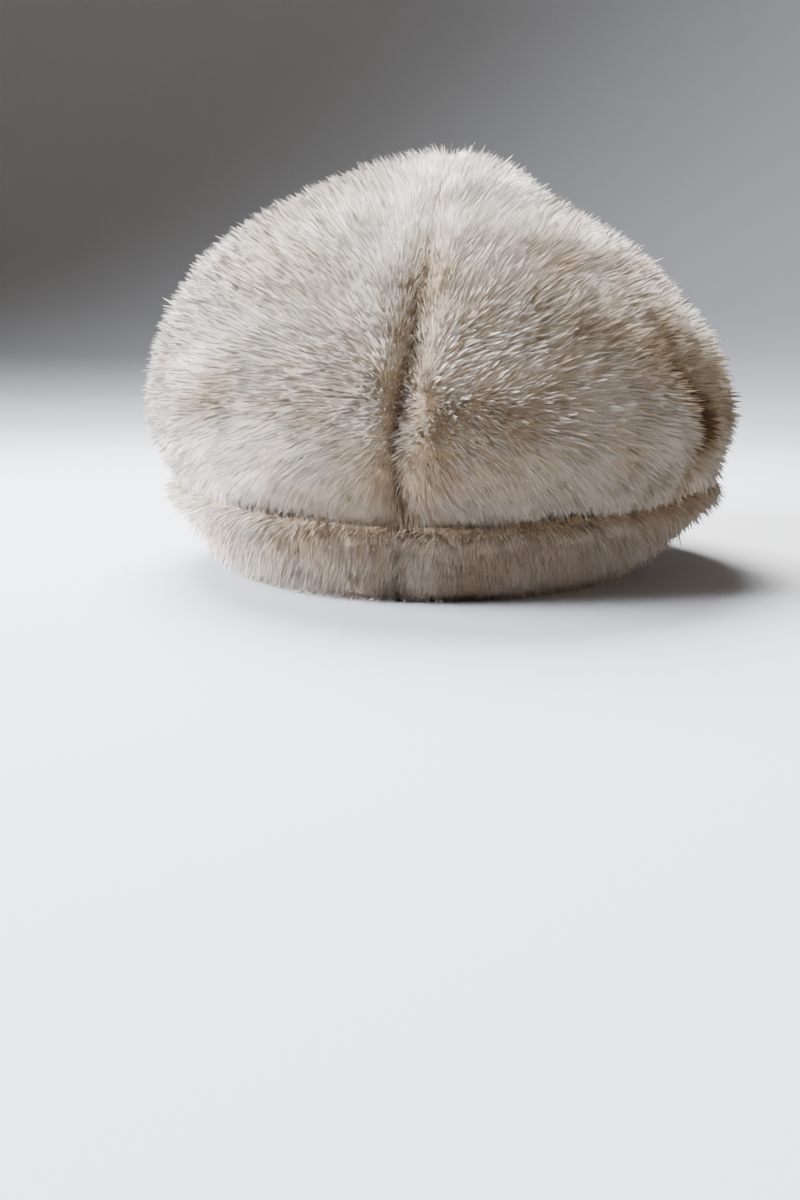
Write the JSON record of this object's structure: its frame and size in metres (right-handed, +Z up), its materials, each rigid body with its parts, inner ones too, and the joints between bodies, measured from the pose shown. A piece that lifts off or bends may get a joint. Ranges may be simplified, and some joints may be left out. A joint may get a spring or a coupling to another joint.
{
  "type": "fur cap",
  "caption": "Rounded, puffy cap of short imitation fur, its sewn crown bulging over a low rolled fur band, open below for a head.",
  "frame": {"origin": "on the floor, under the middle of the cap's outline", "axes": "+Z up, the cap's back towards -Y, the wearer would face +Y, the wearer's right towards +X"},
  "size_m": [0.3092, 0.3024, 0.2083],
  "materials": {
    "crown_fur": "dense short pile, beige grey with pale tips",
    "band_fur": "dense short pile, a little browner than the crown"
  },
  "bodies": {
    "root": {"crown_panel_back_left": "crown_fur", "crown_panel_back_right": "crown_fur", "crown_panel_side_left": "crown_fur", "crown_panel_side_right": "crown_fur", "crown_panel_front_left": "crown_fur", "crown_panel_front_right": "crown_fur", "band": "band_fur"}
  },
  "joints": []
}
